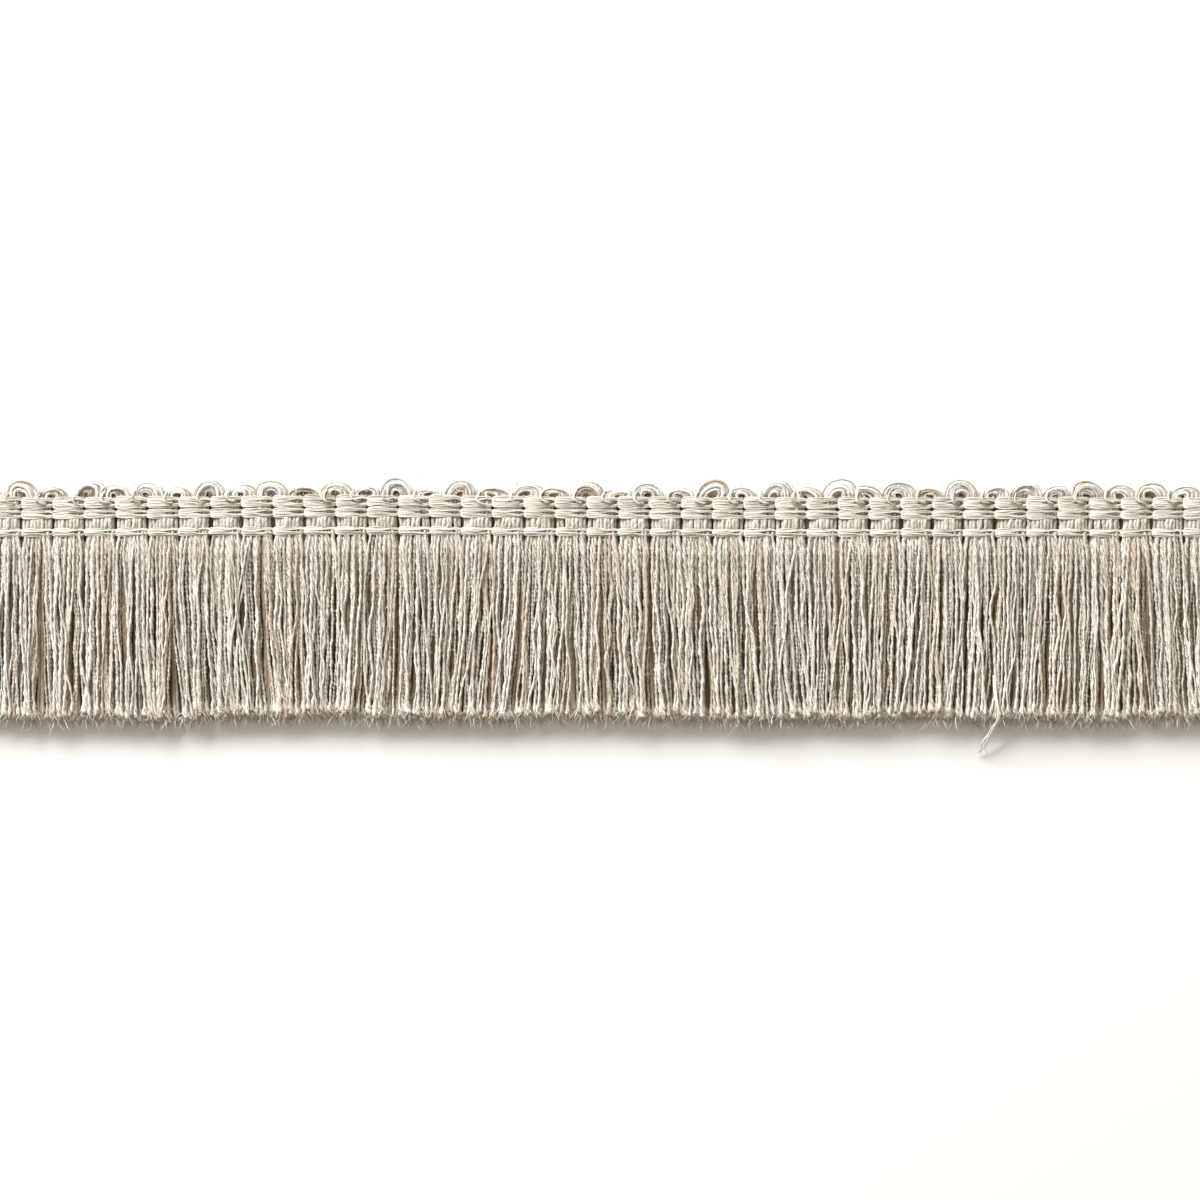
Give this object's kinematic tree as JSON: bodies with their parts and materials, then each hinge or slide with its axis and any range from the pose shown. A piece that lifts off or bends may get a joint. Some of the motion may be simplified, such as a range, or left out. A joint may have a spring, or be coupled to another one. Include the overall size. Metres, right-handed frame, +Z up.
{
  "type": "linen brush fringe trim",
  "caption": "Straight length of cut brush fringe: a narrow woven heading with a looped top edge and a thick skirt of cut linen yarn.",
  "frame": {"origin": "middle of the trim's box on the surface it lies on", "axes": "+X along the trim, +Y across it from the cut ends of the brush to the loops, +Z up from the flat back to the face"},
  "size_m": [0.2152, 0.0398, 0.0029],
  "materials": {
    "weft_linen": "dry natural linen yarn",
    "warp_linen": "pale linen warp yarn"
  },
  "bodies": {
    "root": {"heading_ground": "weft_linen", "brush": "weft_linen", "top_band_upper_yarn": "warp_linen", "top_band_lower_yarn": "warp_linen", "middle_band_upper_yarn": "warp_linen", "middle_band_lower_yarn": "warp_linen", "lower_band_upper_yarn": "warp_linen", "lower_band_lower_yarn": "warp_linen"}
  },
  "joints": []
}
